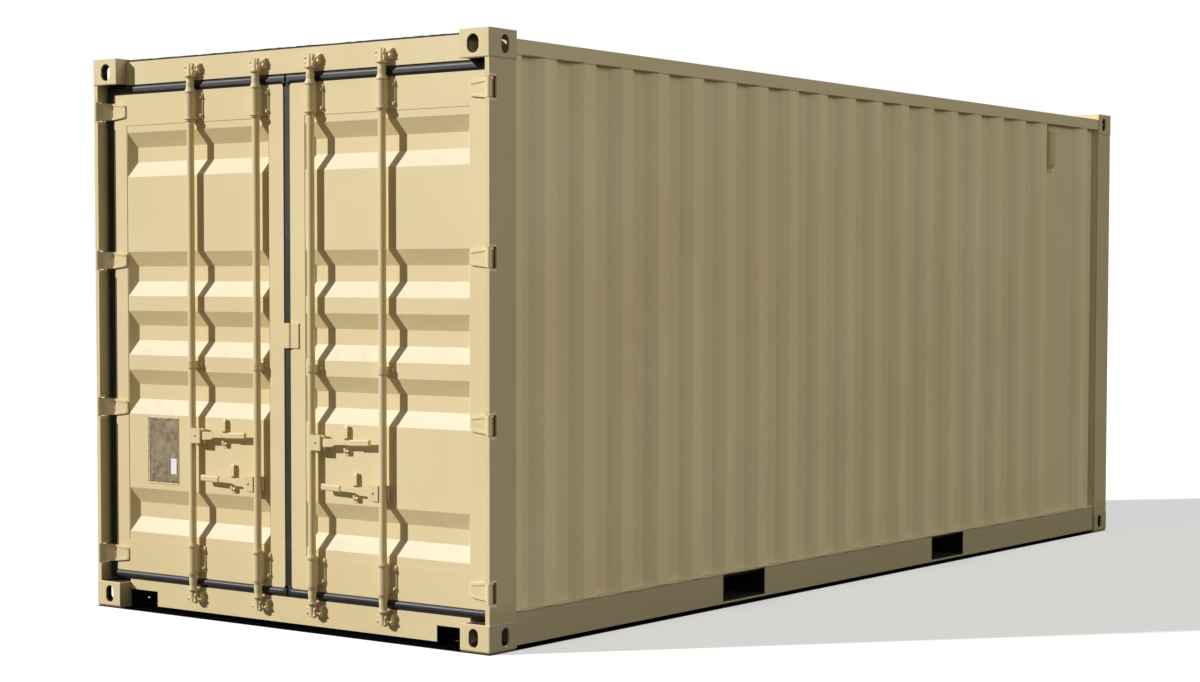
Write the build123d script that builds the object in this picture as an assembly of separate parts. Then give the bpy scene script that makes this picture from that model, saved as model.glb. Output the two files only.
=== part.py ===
from build123d import *
from math import sqrt
import os

os.makedirs("parts", exist_ok=True)

# Frame of the model: origin under the middle of the box, +Z up, +X to the right
# of someone facing the doors, +Y from the door end to the closed front end.

# Overall size, standard twenty foot dry box
length = 6058.0
width = 2438.0
height = 2591.0

# Corner castings
casting_long = 178.0
casting_wide = 162.0
casting_tall = 118.0
casting_skin = 14.0
casting_back = 10.0
casting_load_plate = 28.5
casting_far_plate = 12.0
slot_long = 124.0
slot_wide = 63.5
slot_from_end = 102.5
slot_from_side = 89.5
side_hole_tall = 79.5
side_hole_wide = 51.0
end_hole_wide_top = 63.5
hole_from_face = 62.0
casting_round = 9.0

# Frame members
skin_inset = 4.0
post_plate = 6.0
post_lip = 24.0
post_stop_depth = 132.0
post_stop_wide = 110.0
post_back_depth = 178.0
front_post_long = 174.0
front_post_wide = 105.0
front_post_fold = 54.0
base_bottom = 15.0
bottom_rail_tall = 145.0
bottom_rail_plate = 4.5
bottom_rail_inset = 12.0
bottom_rail_flange = 48.0
top_rail_drop = 33.0
top_rail_tall = 63.0
top_rail_wide = 60.0
rail_plate = 4.0

# Door end frame, depths are measured from the end plane of the castings
header_depth = 95.0
header_drop = 13.0
header_tall = 108.0
header_stop_depth = 125.0
header_stop_tall = 38.0
header_back_depth = 178.0
sill_depth = 68.0
sill_tall = 116.0
sill_stop_depth = 128.0
sill_back_depth = 190.0
sill_notch_wide = 187.0
sill_notch_tall = 70.0
frame_plate = 4.0

# Floor and base
crossmember_tall = 122.0
crossmember_flange = 45.0
crossmember_plate = 4.0
crossmember_step = 310.0
floor_thick = 28.0
floor_board_count = 5
floor_board_gap = 2.0
pocket_wide = 355.0
pocket_tall = 120.0
pocket_lift = 15.0
pocket_tunnel_tall = 102.0
pocket_spacing = 2055.0
pocket_shift = -67.0
pocket_plate = 5.0

# Corrugated skins
wall_inset = 6.0
wall_plate = 1.6
wall_depth = 36.0
wall_pitch = 278.0
wall_outer_flat = 72.0
wall_slope = 68.0
wall_first_ridge = 373.0
wall_rear_step = 18.0
wall_front_step = 15.0
front_wall_plate = 2.0
front_wall_depth = 45.0
front_wall_pitch = 250.0
front_wall_flat = 110.0
front_wall_slope = 18.0
front_wall_inset = 6.0
roof_plate = 2.0
roof_rise = 14.0
roof_pitch = 209.0
roof_flat = 90.0
roof_slope = 14.0
roof_lap = 30.0
roof_rib_inset = 70.0
roof_rib_taper = 60.0

# Side vents
vent_wide = 66.0
vent_tall = 236.0
vent_drop = 24.0
vent_out = 22.0
vent_lip = 7.0
vent_slant = 24.0

# Door leaves
leaf_depth = 66.0
leaf_thick = 50.0
leaf_top_gap = 45.0
leaf_bottom_gap = 41.0
leaf_side_inset = 70.0
leaf_corner_round = 14.0
meeting_line = -8.0
meeting_gap = 41.0
stile_wide = 90.0
top_member_tall = 146.0
bottom_member_tall = 152.0
panel_plate = 2.0
panel_inset = 2.0
rib_depth = 36.0
rib_flat = 70.0
rib_slope = 69.0
rib_end_slope = 32.0
rib_pitch = 278.0
rib_from_top = 283.0
rib_from_bottom = 294.0
handle_field_tall = 352.0

# Door seals
seal_front_depth = 58.0
seal_header_gap = 7.0
seal_top_gap = 4.0
seal_bottom_gap = 5.0
seal_post_gap = 5.0
seal_meeting_gap = 9.0
seal_round = 14.0
seal_swing_gap = 9.0
seal_end_gap = 11.0

# Hinges
pin_inset = 12.0
pin_radius = 7.0
pin_running_gap = 0.25
knuckle_radius = 11.5
hinge_step = 348.0
hinge_from_top = 77.0
hinge_from_bottom = 80.0
hinge_side_gap = 2.0
hinge_lug_tall = 12.0
hinge_notch_depth = 50.0
blade_tall = 86.0
blade_taper = 4.0
blade_tip_tall = 58.0
blade_thick = 10.0
blade_shank = 12.0
blade_reach = 88.0
blade_tip_round = 9.0
blade_ridge = 11.0
blade_hollow = 3.0
blade_crank_inner = (3.0, 7.0)
blade_crank_outer = (-9.0, -5.0)

# Lock rods
rod_depth = 35.0
rod_radius = 17.0
rod_inner_x = 169.0
rod_spacing = 423.0
rod_running_gap = 0.5
rod_collar_radius = 24.0
rod_collar_tall = 6.0
rod_skirt_radius = 26.0
rod_skirt_rim = 5.0
rod_neck_radius = 18.5
rod_neck_end = 45.0
rod_neck_reach = 57.0
collar_gap = 1.0

# Cams on the rod ends and the keepers that hold them
cam_tall = 63.0
cam_header_gap = 12.0
cam_sill_gap = 5.0
cam_flange_radius = 27.0
cam_flange_tall = 7.0
cam_tip_radius = 11.0
cam_thick = 15.0
cam_reach = 26.0
cam_heel = 22.0
# Wing of a cam, each point as shares of its reach and of its height
cam_wing = ((1.0, 0.36), (0.62, 0.5), (0.9, 0.9), (0.5, 1.0), (0.0, 0.8))
keeper_gap = 6.0
keeper_thick = 10.0
keeper_plate = 5.0
keeper_foot = 8.0
keeper_front_depth = 36.0
keeper_notch = 13.0
# Heights of a keeper's upper point, notch and lower point, as shares of its height
keeper_points = (0.7, 0.52, 0.3)

# Rod bearing brackets
bracket_wide = 108.0
bracket_tall = 122.0
bracket_plate = 6.0
bracket_wall = 5.0
bracket_corner = 6.0
bracket_flange = 6.0
bracket_flange_tall = 5.0
bracket_from_top = 15.0
bracket_from_bottom = 31.0
guide_tall = 34.0
guide_wide = 84.0

# Handles
handle_upper_rise = 92.0
handle_lower_drop = 112.0
handle_pivot_reach = 40.0
handle_eye_radius = 18.0
handle_plate = 9.0
handle_play = 1.5
handle_pin_radius = 6.0
handle_pin_head = 1.5
handle_root_end = 127.0
handle_neck_start = 152.0
handle_neck_end = 222.0
handle_neck_tall = 18.0
handle_grip_start = 240.0
handle_grip_tall = 28.0
handle_grip_thick = 18.0
handle_grip_round = 6.0
handle_tip = 356.0
handle_rise = 12.0
hub_reach = 72.0
hub_half_tall = 34.0
hub_cheek = 8.0
hub_wall = 4.0
hub_round = 5.0

# Handle catches
catch_upper_reach = 214.0
catch_lower_reach = 155.0
catch_plate = 5.0
catch_base_wide = 70.0
catch_base_tall = 118.0
catch_clear = 5.0
hasp_wide = 30.0
hasp_thick = 5.0
hasp_bend = 8.0
hasp_rise = 40.0
hasp_fin_reach = 46.0
hasp_fin_tall = 30.0
hook_wide = 20.0
hook_thick = 6.0
hook_bend = 13.0
hook_tip = 4.0

# Plates on the doors
marking_from_hinge_side = 326.0
marking_wide = 206.0
marking_tall = 310.0
marking_rise = 9.0
marking_plate_thick = 1.6
lap_tall = 112.0
lap_rise = 7.5
lap_wide = 85.5
lap_plate_thick = 6.0
lap_joggle = 6.0
lap_crank = 8.0

# Values that follow from the sizes above
half_long = length / 2
half_wide = width / 2
skin_x = half_wide - skin_inset
rear_skin_y = -half_long + skin_inset
front_skin_y = half_long - skin_inset
casting_inner_x = half_wide - casting_wide
casting_inner_y = half_long - casting_long
post_low = casting_tall
post_high = height - casting_tall
lip_inner_x = skin_x - post_lip
header_top = height - header_drop
header_bottom = header_top - header_tall
header_stop_bottom = header_bottom - header_stop_tall
sill_ledge = base_bottom + sill_tall
bottom_rail_top = base_bottom + bottom_rail_tall
top_rail_top = height - top_rail_drop
top_rail_bottom = top_rail_top - top_rail_tall
wall_outer_x = half_wide - wall_inset
wall_inner_x = wall_outer_x - wall_depth + wall_plate
wall_inner_flat = wall_pitch - wall_outer_flat - 2 * wall_slope
rail_web_x = half_wide - bottom_rail_inset
crossmember_top = base_bottom + crossmember_tall
floor_top = crossmember_top + floor_thick
pocket_bottom = base_bottom + pocket_lift
pocket_top = pocket_bottom + pocket_tall
pocket_middles = [pocket_shift + s * pocket_spacing / 2 for s in (-1, 1)]

leaf_outer_x = half_wide - leaf_side_inset
leaf_top = header_bottom - leaf_top_gap
leaf_bottom = sill_ledge + leaf_bottom_gap
leaf_middle = (leaf_top + leaf_bottom) / 2
panel_depth = leaf_depth + panel_inset
rib_half_tall = rib_flat / 2 + rib_slope

pin_x = half_wide - pin_inset
pin_y = -half_long + pin_inset
hinge_gap_tall = blade_tall + 2 * hinge_side_gap
hinge_heights = [leaf_bottom + hinge_from_bottom, leaf_middle - hinge_step,
                 leaf_middle + hinge_step, leaf_top - hinge_from_top]

rod_outer_x = rod_inner_x + rod_spacing
rod_places = [-rod_outer_x, -rod_inner_x, rod_inner_x, rod_outer_x]
cam_top_start = header_bottom + cam_header_gap
cam_bottom_start = sill_ledge - cam_sill_gap
bracket_top_low = leaf_top - bracket_from_top - bracket_tall
bracket_top_high = leaf_top - bracket_from_top
bracket_bottom_low = leaf_bottom + bracket_from_bottom
bracket_bottom_high = bracket_bottom_low + bracket_tall
hub_front_depth = rod_depth - rod_radius - hub_wall
handle_front_depth = hub_front_depth + hub_cheek + handle_play


def rib_places():
    # A lone rib at each end of the leaf, an even group between the two plain fields
    lowest = leaf_bottom + rib_from_bottom
    highest = leaf_top - rib_from_top
    group_low = lowest + 2 * rib_half_tall + handle_field_tall
    group_high = highest - 2 * rib_half_tall - handle_field_tall
    count = max(1, round((group_high - group_low) / rib_pitch) + 1)
    return [lowest] + [group_low + i * rib_pitch for i in range(count)] + [highest]


rib_heights = rib_places()
handle_field_middle = rib_heights[0] + rib_half_tall + handle_field_tall / 2
guide_middle = rib_heights[1] + rib_pitch / 2


def depth(value):
    # y of a plane that lies this far behind the door end plane
    return -half_long + value


def prism(axis, outline, start, end):
    # Closed outline pushed along an axis; outline pairs are (y, z), (x, z) or (x, y)
    if axis == "x":
        return extrude(Plane.YZ.offset(start) * outline_face(outline), amount=end - start)
    if axis == "y":
        return extrude(Plane.XZ.offset(-start) * outline_face(outline), amount=start - end)
    return extrude(Plane.XY.offset(start) * outline_face(outline), amount=end - start)


def outline_face(outline):
    return make_face(Polyline(*outline, close=True))


def block(x0, x1, y0, y1, z0, z1):
    return Pos((x0 + x1) / 2, (y0 + y1) / 2, (z0 + z1) / 2) * Box(x1 - x0, y1 - y0, z1 - z0)


def hollow_section(axis, outline, plate, start, end):
    # Folded closed section of constant plate thickness
    outer = outline_face(outline)
    ring = outer - offset(outer, amount=-plate, kind=Kind.INTERSECTION)
    if axis == "x":
        return extrude(Plane.YZ.offset(start) * ring, amount=end - start)
    return extrude(Plane.XY.offset(start) * ring, amount=end - start)


def rod_z(x, y, radius, low, high):
    return Pos(x, y, (low + high) / 2) * Cylinder(radius, high - low)


def cross_pin(x, z, radius, y0, y1):
    return Pos(x, (y0 + y1) / 2, z) * Rot(90, 0, 0) * Cylinder(radius, y1 - y0)


def mirror_x(shape):
    return mirror(shape, about=Plane.YZ)


def mirror_y(shape):
    return mirror(shape, about=Plane.XZ)


def hand(shape, side):
    return shape if side > 0 else mirror_x(shape)


def stadium(axis, centre, across, tall, reach):
    # Cutter for a hole with round ends, its long way up
    hole = SlotOverall(tall, across, rotation=90)
    plane = Plane.YZ if axis == "x" else Plane.XZ
    return Pos(*centre) * extrude(plane * hole, amount=reach, both=True)


def corner_casting(is_top):
    # Casting of the right door corner, modelled from its lowest point upwards
    low = height - casting_tall if is_top else 0.0
    x0, x1 = half_wide - casting_wide, half_wide
    y0, y1 = -half_long, -half_long + casting_long
    shell = block(x0, x1, y0, y1, low, low + casting_tall)
    corner = shell.edges().filter_by(Axis.Z).sort_by(Axis.X)[-2:].sort_by(Axis.Y)[0]
    shell = fillet(corner, casting_round)
    if not is_top:
        feet = shell.faces().sort_by(Axis.Z)[0].edges()
        shell = chamfer(feet.sort_by(Axis.Y)[0], casting_round)
    plate_low = casting_far_plate if is_top else casting_load_plate
    plate_high = casting_load_plate if is_top else casting_far_plate
    shell -= block(x0 + casting_back, x1 - casting_skin, y0 + casting_skin, y1 - casting_back,
                   low + plate_low, low + casting_tall - plate_high)
    slot_x = half_wide - slot_from_side
    slot_y = -half_long + slot_from_end
    slot_z = low + casting_tall - plate_high / 2 if is_top else low + plate_low / 2
    slot = Rot(0, 0, 90) * extrude(SlotOverall(slot_long, slot_wide), amount=casting_load_plate, both=True)
    shell -= Pos(slot_x, slot_y, slot_z) * slot
    hole_z = height - hole_from_face if is_top else hole_from_face
    end_wide = end_hole_wide_top if is_top else side_hole_wide
    shell -= stadium("y", (slot_x, y0, hole_z), end_wide, side_hole_tall, casting_skin * 2)
    shell -= stadium("x", (x1, slot_y, hole_z), side_hole_wide, side_hole_tall, casting_skin * 2)
    return shell


def corner_set(is_top):
    one = corner_casting(is_top)
    pair = [one, mirror_x(one)]
    return pair + [mirror_y(piece) for piece in pair]


def rear_post():
    # Folded outer plate with the door stop, closed at the back
    stop_x = skin_x - post_stop_wide
    outline = [(skin_x, rear_skin_y), (skin_x, depth(post_back_depth)), (stop_x, depth(post_back_depth)),
               (stop_x, depth(post_stop_depth)), (lip_inner_x, depth(post_stop_depth)),
               (lip_inner_x, rear_skin_y)]
    post = hollow_section("z", outline, post_plate, post_low, post_high)
    notch_half = hinge_gap_tall / 2 + hinge_lug_tall
    for z in hinge_heights:
        post -= block(lip_inner_x - 1, half_wide, -half_long, depth(hinge_notch_depth),
                      z - notch_half, z + notch_half)
    return post


def hinge_pin_and_lugs(z):
    # Two forged lugs in the post's notch and the pin that they hold
    half = hinge_gap_tall / 2
    lug_outline = [(skin_x, rear_skin_y), (skin_x, depth(hinge_notch_depth)),
                   (lip_inner_x, depth(hinge_notch_depth)), (lip_inner_x, rear_skin_y)]
    pin = rod_z(pin_x, pin_y, pin_radius, z - half - hinge_lug_tall, z + half + hinge_lug_tall)
    for low in (z - half - hinge_lug_tall, z + half):
        pin += prism("z", lug_outline, low, low + hinge_lug_tall)
    return pin


def hinge_blade(z):
    # Forged strap: knuckle on the pin, cranked shank, tapered blade flat on the leaf, raised rims
    face_y = depth(leaf_depth)
    front_y = face_y - blade_thick
    half, tip_half = blade_tall / 2, blade_tip_tall / 2
    bend_x = leaf_outer_x + blade_shank
    tip_x = leaf_outer_x - blade_reach
    inner, outer = blade_crank_inner, blade_crank_outer
    shank = [(pin_x + inner[0], pin_y + inner[1]), (bend_x, face_y), (tip_x, face_y),
             (tip_x, face_y - blade_thick / 2), (tip_x + blade_shank, front_y),
             (bend_x - blade_thick, front_y), (pin_x + outer[0], pin_y + outer[1])]
    blade = prism("z", shank, z - half, z + half)
    blade += rod_z(pin_x, pin_y, knuckle_radius, z - half, z + half)
    side_view = [(half_wide, z - half), (half_wide, z + half), (leaf_outer_x, z + half - blade_taper),
                 (tip_x - 1, z + tip_half), (tip_x - 1, z - tip_half),
                 (leaf_outer_x, z - half + blade_taper)]
    side_form = prism("y", side_view, -half_long, depth(leaf_depth + leaf_thick))
    side_form = fillet(side_form.edges().filter_by(Axis.Y).sort_by(Axis.X)[:2], blade_tip_round)
    blade &= side_form
    rim = half - blade_taper - blade_ridge
    tip_rim = tip_half - blade_ridge
    hollow = [(leaf_outer_x, z - rim), (leaf_outer_x, z + rim),
              (tip_x - 1, z + tip_rim), (tip_x - 1, z - tip_rim)]
    blade -= prism("y", hollow, front_y - blade_thick, front_y + blade_hollow)
    return blade - rod_z(pin_x, pin_y, pin_radius + pin_running_gap, z - half - 1, z + half + 1)


def front_post():
    fold_y = front_skin_y - front_post_fold
    back_y = front_skin_y - front_post_long
    outline = [(skin_x, back_y), (skin_x, front_skin_y), (skin_x - front_post_wide, front_skin_y),
               (skin_x - front_post_wide, fold_y), (skin_x - front_post_fold, fold_y),
               (skin_x - front_post_fold, back_y)]
    return hollow_section("z", outline, post_plate, post_low, post_high)


def door_header():
    outline = [(depth(header_depth), header_bottom), (depth(header_depth), header_top),
               (depth(header_back_depth), header_top), (depth(header_back_depth), header_stop_bottom),
               (depth(header_stop_depth), header_stop_bottom), (depth(header_stop_depth), header_bottom)]
    return hollow_section("x", outline, frame_plate, -casting_inner_x, casting_inner_x)


def door_sill():
    outline = [(depth(sill_depth), base_bottom), (depth(sill_depth), sill_ledge),
               (depth(sill_stop_depth), sill_ledge), (depth(sill_stop_depth), floor_top),
               (depth(sill_back_depth), floor_top), (depth(sill_back_depth), base_bottom)]
    sill = hollow_section("x", outline, frame_plate, -casting_inner_x, casting_inner_x)
    notch_x = casting_inner_x - sill_notch_wide
    cutter = block(notch_x, casting_inner_x + 1, depth(sill_depth - 1), depth(sill_stop_depth),
                   base_bottom - 1, base_bottom + sill_notch_tall)
    return sill - cutter - mirror_x(cutter)


def front_beam(low, high):
    inner_y = front_skin_y - front_post_fold
    outline = [(inner_y, low), (inner_y, high), (front_skin_y, high), (front_skin_y, low)]
    return hollow_section("x", outline, frame_plate, -casting_inner_x, casting_inner_x)


def top_rail():
    section = hollow_section("z", [(skin_x - top_rail_wide, top_rail_bottom), (skin_x, top_rail_bottom),
                                   (skin_x, top_rail_top), (skin_x - top_rail_wide, top_rail_top)],
                             rail_plate, 0, 2 * casting_inner_y)
    return Pos(0, casting_inner_y, 0) * Rot(90, 0, 0) * section


def bottom_rail():
    # Channel with its top flange carried out under the wall, cut for the fork pockets
    t = bottom_rail_plate
    inner_x = rail_web_x - bottom_rail_flange
    under = bottom_rail_top - t
    outline = [(rail_web_x, base_bottom), (rail_web_x, under), (wall_outer_x, under),
               (wall_outer_x, bottom_rail_top), (inner_x, bottom_rail_top), (inner_x, under),
               (rail_web_x - t, under), (rail_web_x - t, base_bottom + t),
               (inner_x, base_bottom + t), (inner_x, base_bottom)]
    rail = prism("y", outline, -casting_inner_y, casting_inner_y)
    for middle in pocket_middles:
        half = pocket_wide / 2 + pocket_plate
        rail -= block(inner_x - 1, rail_web_x + 1, middle - half, middle + half,
                      pocket_bottom - pocket_plate, pocket_top + pocket_plate)
    return rail


def fork_pocket(middle):
    # Tunnel under the floor with a taller mouth inside each bottom rail
    t = pocket_plate
    tunnel_x = rail_web_x - bottom_rail_flange
    tunnel_top = pocket_bottom + pocket_tunnel_tall
    half = pocket_wide / 2
    outline = [(-rail_web_x, pocket_bottom - t), (rail_web_x, pocket_bottom - t),
               (rail_web_x, pocket_top + t), (tunnel_x, pocket_top + t), (tunnel_x, tunnel_top + t),
               (-tunnel_x, tunnel_top + t), (-tunnel_x, pocket_top + t), (-rail_web_x, pocket_top + t)]
    bore = [(-rail_web_x - 1, pocket_bottom), (rail_web_x + 1, pocket_bottom),
            (rail_web_x + 1, pocket_top), (tunnel_x + t, pocket_top), (tunnel_x + t, tunnel_top),
            (-tunnel_x - t, tunnel_top), (-tunnel_x - t, pocket_top), (-rail_web_x - 1, pocket_top)]
    tunnel = prism("y", outline, middle - half - t, middle + half + t)
    return tunnel - prism("y", bore, middle - half, middle + half)


def crossmember(y):
    # Pressed channel, open towards the front, standing on the flanges of the bottom rails
    t = crossmember_plate
    f = crossmember_flange
    low = base_bottom + bottom_rail_plate
    outline = [(y, low), (y + f, low), (y + f, low + t), (y + t, low + t),
               (y + t, crossmember_top - t), (y + f, crossmember_top - t), (y + f, crossmember_top),
               (y, crossmember_top)]
    reach = rail_web_x - bottom_rail_plate
    return prism("x", outline, -reach, reach)


def crossmember_places():
    # Even steps in each bay between the sill, the fork pockets and the front beam
    clear = pocket_wide / 2 + pocket_plate
    bay_edges = [(depth(sill_back_depth), pocket_middles[0] - clear),
                 (pocket_middles[0] + clear, pocket_middles[1] - clear),
                 (pocket_middles[1] + clear, front_skin_y - front_post_fold)]
    places = []
    for start, end in bay_edges:
        count = max(1, round((end - start) / crossmember_step) - 1)
        step = (end - start) / (count + 1)
        places += [start + step * (i + 1) - crossmember_flange / 2 for i in range(count)]
    return places


def floor_boards():
    start = depth(sill_back_depth)
    end = front_skin_y - front_post_fold
    step = (end - start) / floor_board_count
    half = rail_web_x - bottom_rail_flange - 1
    boards = []
    for i in range(floor_board_count):
        y0 = start + step * i + floor_board_gap / 2
        boards.append(block(-half, half, y0, y0 + step - floor_board_gap, crossmember_top, floor_top))
    return boards


def ridge_starts():
    # First edge of each ridge; the ridge beside the vent, last but one, is left out
    first = depth(wall_first_ridge)
    room = front_skin_y - front_post_long - wall_front_step - wall_slope - wall_outer_flat - first
    count = int(room / wall_pitch) + 1
    return [first + wall_pitch * i for i in range(count) if i != count - 2]


def side_wall():
    # Upright corrugations with ridges at the outer plane
    start = depth(post_back_depth)
    end = front_skin_y - front_post_long
    ridges = ridge_starts()
    lead = ridges[0] - wall_slope - wall_inner_flat
    line = [(start, wall_outer_x), (lead - wall_rear_step, wall_outer_x), (lead, wall_inner_x)]
    for y in ridges:
        line += [(y - wall_slope, wall_inner_x), (y, wall_outer_x),
                 (y + wall_outer_flat, wall_outer_x), (y + wall_outer_flat + wall_slope, wall_inner_x)]
    line += [(end - wall_front_step, wall_inner_x), (end, wall_outer_x)]
    outline = [(x, y) for y, x in line] + [(x - wall_plate, y) for y, x in reversed(line)]
    return prism("z", outline, bottom_rail_top, top_rail_bottom)


def front_wall():
    outer, inner = front_skin_y - front_wall_inset, front_skin_y - front_wall_inset - front_wall_depth
    half = skin_x - front_post_wide
    count = int(2 * half / front_wall_pitch)
    line = [(-half, outer)]
    start = -count * front_wall_pitch / 2
    for i in range(count):
        x = start + i * front_wall_pitch
        gap = front_wall_pitch - front_wall_flat - 2 * front_wall_slope
        line += [(x + gap / 2, outer), (x + gap / 2 + front_wall_slope, inner),
                 (x + gap / 2 + front_wall_slope + front_wall_flat, inner),
                 (x + gap / 2 + 2 * front_wall_slope + front_wall_flat, outer)]
    line.append((half, outer))
    outline = line + [(x, y - front_wall_plate) for x, y in reversed(line)]
    return prism("z", outline, bottom_rail_top, post_high)


def roof_body(lower):
    # Filled form under the roof's upper surface, or under its lower surface
    start, end = depth(header_back_depth), front_skin_y - front_post_fold
    low = top_rail_top if lower else top_rail_top + roof_plate
    high = low + roof_rise
    base = top_rail_top - roof_rise
    count = int((casting_inner_y - start - 2 * roof_lap) / roof_pitch)
    trough = roof_pitch - roof_flat - 2 * roof_slope
    line = [(start, base), (start, low)]
    for i in range(count):
        y = start + roof_lap + i * roof_pitch + trough / 2
        line += [(y, low), (y + roof_slope, high), (y + roof_slope + roof_flat, high),
                 (y + 2 * roof_slope + roof_flat, low)]
    line += [(end, low), (end, base)]
    half = skin_x - top_rail_wide / 3
    rib_end = half - roof_rib_inset
    crown = [(-half, base), (-half, low), (-rib_end, low), (roof_rib_taper - rib_end, high),
             (rib_end - roof_rib_taper, high), (rib_end, low), (half, low), (half, base)]
    return prism("x", line, -half, half) & prism("y", crown, start, end)


def roof_sheet():
    # Pressed cross ribs that run out flat before the rails
    sheet = roof_body(False) - roof_body(True)
    corner = block(casting_inner_x, half_wide, casting_inner_y, half_long,
                   top_rail_top - 1, top_rail_top + roof_rise)
    return sheet - corner - mirror_x(corner)


def side_vent():
    # Louvred cover in the wide recess where a ridge is left out, beside the ridge before it
    before = ridge_starts()[-2] + wall_outer_flat + wall_slope
    middle = before + wall_inner_flat / 2
    top = top_rail_bottom - vent_drop
    low = top - vent_tall
    lip_x, out_x = wall_inner_x + vent_lip, wall_inner_x + vent_out
    outline = [(wall_inner_x, top), (lip_x, top), (out_x, top - vent_slant),
               (out_x, low + vent_slant), (lip_x, low), (wall_inner_x, low)]
    return prism("y", outline, middle - vent_wide / 2, middle + vent_wide / 2)


def leaf_span(side):
    inner = meeting_line + side * meeting_gap / 2
    outer = side * leaf_outer_x
    return min(inner, outer), max(inner, outer)


def leaf_blank(side, y0, y1):
    x0, x1 = leaf_span(side)
    blank = block(x0, x1, y0, y1, leaf_bottom, leaf_top)
    return fillet(blank.edges().filter_by(Axis.Y), leaf_corner_round)


def leaf_frame(side):
    x0, x1 = leaf_span(side)
    y0, y1 = depth(leaf_depth), depth(leaf_depth + leaf_thick)
    frame = leaf_blank(side, y0, y1)
    return frame - block(x0 + stile_wide, x1 - stile_wide, y0 - 1, y1 + 1,
                         leaf_bottom + bottom_member_tall, leaf_top - top_member_tall)


def rib_form(x0, x1, z, grow):
    # Trough with slanted sides and ends; grow gives the sheet's back face
    y0 = depth(panel_depth)
    y1 = y0 + rib_depth + grow
    slant = rib_slope * grow / rib_depth
    wide = x1 - x0
    mouth = Rectangle(wide, 2 * rib_half_tall + 2 * slant)
    floor = Rectangle(wide - 2 * rib_end_slope, rib_flat + 2 * slant)
    near = Plane.XZ.offset(-y0) * Pos((x0 + x1) / 2, z) * mouth
    far = Plane.XZ.offset(-y1) * Pos((x0 + x1) / 2, z) * floor
    return loft([near, far])


def leaf_panel(side):
    x0, x1 = leaf_span(side)
    x0, x1 = x0 + stile_wide, x1 - stile_wide
    y0 = depth(panel_depth)
    panel = block(x0, x1, y0, y0 + panel_plate,
                  leaf_bottom + bottom_member_tall, leaf_top - top_member_tall)
    rib_x0, rib_x1 = x0 + 2 * panel_plate, x1 - 2 * panel_plate
    for z in rib_heights:
        panel += rib_form(rib_x0 - panel_plate, rib_x1 + panel_plate, z, panel_plate)
    for z in rib_heights:
        panel -= rib_form(rib_x0, rib_x1, z, 0)
    return panel


def leaf_seal(side):
    # Bulged rubber tube on three sides of the leaf; only the right leaf has a strip in the middle gap
    outer_x = side * (lip_inner_x - seal_post_gap)
    inner_x = meeting_line + side * seal_meeting_gap / 2
    past_x = meeting_line - side * meeting_gap
    y0, y1 = depth(seal_front_depth), depth(header_depth - seal_header_gap)
    low, high = sill_ledge + seal_bottom_gap, header_bottom - seal_top_gap
    ring = block(min(outer_x, past_x), max(outer_x, past_x), y0, y1, low, high)
    ring -= leaf_blank(side, y0 - 1, y1 + 1)
    ring = fillet(ring.faces().sort_by(Axis.Y)[0].edges(), seal_round)
    ring -= block(min(inner_x, past_x) - 1, max(inner_x, past_x) + 1, y0 - 1, y1 + 1, low - 1, high + 1)
    gap_x0, gap_x1 = leaf_span(-1)[1], leaf_span(1)[0]
    ring -= block(gap_x0, gap_x1, y0 - 1, y1 + 1, leaf_bottom, leaf_top)
    post_x0, post_x1 = sorted((side * (leaf_outer_x - 1), side * half_wide))
    half = blade_tall / 2 + 1
    for z in hinge_heights:
        ring -= block(post_x0, post_x1, y0 - 1, depth(leaf_depth + 1), z - half, z + half)
    if side < 0:
        return [ring]
    strip = block(gap_x0 + seal_swing_gap, gap_x1, depth(leaf_depth), y1,
                  leaf_bottom + seal_end_gap, leaf_top - seal_end_gap)
    return [ring, strip]


def rod_bracket(x, low, high, wide, seat_depth, flange_low=None):
    # Pressed bearing: bolted feet and a half round housing over the rod, flanged at one end
    seat_y = depth(seat_depth)
    rod_y = depth(rod_depth)
    outer = rod_radius + rod_running_gap + bracket_wall
    foot = block(x - wide / 2, x + wide / 2, seat_y - bracket_plate, seat_y, low, high)
    foot = fillet(foot.edges().filter_by(Axis.Y), bracket_corner)
    housing = rod_z(x, rod_y, outer, low, high) + block(x - outer, x + outer, rod_y, seat_y, low, high)
    if flange_low is not None:
        housing += rod_z(x, rod_y, outer + bracket_flange, flange_low, flange_low + bracket_flange_tall)
    return foot + housing - rod_z(x, rod_y, rod_radius + rod_running_gap, low - 1, high + 1)


def leaf_brackets(side):
    places = [x for x in rod_places if x * side > 0]
    pieces = []
    for x in places:
        pieces.append(rod_bracket(x, bracket_top_low, bracket_top_high, bracket_wide, leaf_depth,
                                  bracket_top_low))
        pieces.append(rod_bracket(x, bracket_bottom_low, bracket_bottom_high, bracket_wide, leaf_depth,
                                  bracket_bottom_high - bracket_flange_tall))
        pieces.append(rod_bracket(x, guide_middle - guide_tall / 2, guide_middle + guide_tall / 2,
                                  guide_wide, panel_depth))
    return pieces


def handle_place(index):
    # Upper handles point right from the first rod of each leaf, lower ones point back
    if index % 2 == 0:
        return rod_places[index], 1, handle_field_middle + handle_upper_rise
    return rod_places[index], -1, handle_field_middle - handle_lower_drop


def bent_strap(x, y, z, bend, thick, wide, front_leg, back_leg, up):
    # Strip bent half round about (y, z), its legs running on away from the bend
    ring = Circle(bend + thick / 2) - Circle(bend - thick / 2)
    reach = bend + thick
    strap = ring & Pos(0, up * reach / 2) * Rectangle(2 * reach, reach)
    strap += Pos(-bend, -up * front_leg / 2) * Rectangle(thick, front_leg)
    strap += Pos(bend, -up * back_leg / 2) * Rectangle(thick, back_leg)
    return extrude(Plane.YZ.offset(x - wide / 2) * Pos(y, z) * strap, amount=wide)


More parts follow.
